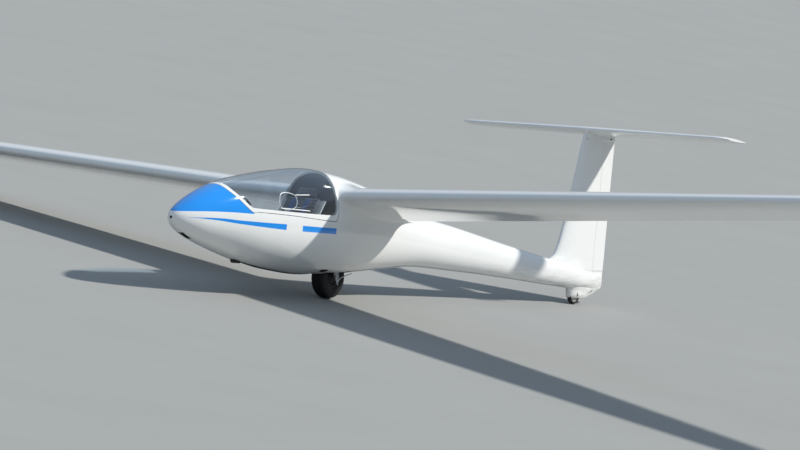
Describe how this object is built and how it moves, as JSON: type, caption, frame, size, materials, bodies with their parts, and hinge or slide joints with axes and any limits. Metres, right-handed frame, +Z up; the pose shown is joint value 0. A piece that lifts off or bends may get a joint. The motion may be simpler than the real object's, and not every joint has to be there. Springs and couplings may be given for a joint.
{
  "type": "sailplane glider",
  "caption": "Single-seat T-tail sailplane with a fixed belly wheel and tail wheel, opening canopy, working control surfaces and airbrakes, parked on one wing tip.",
  "frame": {"origin": "middle of the bounding box on the ground, under the leaning glider", "axes": "+X to the nose, +Y to port, +Z up; the glider leans about X onto its starboard wing tip skid"},
  "size_m": [6.6856, 14.833, 2.4162],
  "materials": {
    "gelcoat_white": "polished white gelcoat with blue stripes",
    "canopy_glass": "clear acrylic with a light blue tint",
    "tyre_rubber": "matte black rubber",
    "alloy": "satin alloy",
    "steel": "painted and bare steel",
    "black_trim": "matte black",
    "interior_trim": "light grey painted laminate",
    "seat_cloth": "dark woven cloth",
    "webbing": "blue woven webbing"
  },
  "bodies": {
    "airframe": {"fuselage_shell": "gelcoat_white", "nose_vent": "black_trim", "nose_tow_hook": "black_trim", "belly_tow_hook": "black_trim", "belly_strip": "black_trim", "canopy_hinge_front": "alloy", "canopy_hinge_rear": "alloy", "fuselage_centre": "gelcoat_white", "tail_boom": "gelcoat_white", "fin": "gelcoat_white", "tailplane": "gelcoat_white", "wing_port": "gelcoat_white", "tip_skid_port": "black_trim", "wing_starboard": "gelcoat_white", "tip_skid_starboard": "black_trim", "main_fork_port": "steel", "main_fork_starboard": "steel", "main_axle": "steel", "brake_lever": "alloy", "tail_axle": "steel", "seat_pan": "interior_trim", "seat_cushion": "seat_cloth", "back_cushion": "seat_cloth", "headrest": "seat_cloth", "harness": "webbing", "instrument_panel": "black_trim", "panel_hood": "black_trim", "control_stick": "black_trim", "rudder_pedals": "steel", "airbrake_handle": "alloy"},
    "canopy": {"canopy_frame": "gelcoat_white", "canopy_glass": "canopy_glass"},
    "main_wheel": {"main_tyre": "tyre_rubber", "main_rim": "alloy"},
    "tail_wheel": {"tail_tyre": "tyre_rubber", "tail_rim": "alloy"},
    "rudder": {"rudder": "gelcoat_white"},
    "elevator": {"elevator_port": "gelcoat_white", "elevator_starboard": "gelcoat_white"},
    "aileron_port": {"aileron_port": "gelcoat_white"},
    "aileron_starboard": {"aileron_starboard": "gelcoat_white"},
    "airbrake_port": {"airbrake_cap_port": "gelcoat_white", "airbrake_blade_port": "alloy"},
    "airbrake_starboard": {"airbrake_cap_starboard": "gelcoat_white", "airbrake_blade_starboard": "alloy"}
  },
  "joints": [
    {"name": "canopy_open", "type": "hinge", "parent": "airframe", "child": "canopy", "pos_m": [1.97007, -0.21321, 0.62163], "axis": [0.9982, 0.0254, 0.0537], "range_deg": [0, 75]},
    {"name": "main_wheel_spin", "type": "hinge", "parent": "airframe", "child": "main_wheel", "pos_m": [1.06007, 0.1649, 0.17457], "axis": [0, 0.9883, 0.1525], "continuous": true},
    {"name": "tail_wheel_spin", "type": "hinge", "parent": "airframe", "child": "tail_wheel", "pos_m": [-2.77293, 0.17939, 0.08068], "axis": [0, 0.9883, 0.1525], "continuous": true},
    {"name": "rudder_turn", "type": "hinge", "parent": "airframe", "child": "rudder", "pos_m": [-3.05843, 0.05646, 0.87725], "axis": [-0.054, -0.1523, 0.9869], "range_deg": [-30, 30]},
    {"name": "elevator_turn", "type": "hinge", "parent": "airframe", "child": "elevator", "pos_m": [-3.17294, 0.6542, 1.62634], "axis": [0, 0.9883, 0.1525], "range_deg": [-20, 25]},
    {"name": "aileron_port_turn", "type": "hinge", "parent": "airframe", "child": "aileron_port", "pos_m": [0.65696, 5.78949, 1.98558], "axis": [0.0283, 0.9754, 0.2184], "range_deg": [-18, 18]},
    {"name": "aileron_starboard_turn", "type": "hinge", "parent": "airframe", "child": "aileron_starboard", "pos_m": [0.65696, -5.74398, 0.20568], "axis": [-0.0283, 0.9959, 0.0858], "range_deg": [-18, 18]},
    {"name": "airbrake_port_slide", "type": "slide", "parent": "airframe", "child": "airbrake_port", "axis": [-0.2323, -0.2002, 0.9518], "range_m": [0, 0.085]},
    {"name": "airbrake_starboard_slide", "type": "slide", "parent": "airframe", "child": "airbrake_starboard", "axis": [-0.2323, -0.096, 0.9679], "range_m": [0, 0.085]}
  ],
  "couplings": [
    {"joint": "aileron_starboard_turn", "follows": "aileron_port_turn", "ratio": -1},
    {"joint": "airbrake_starboard_slide", "follows": "airbrake_port_slide", "ratio": 1}
  ]
}
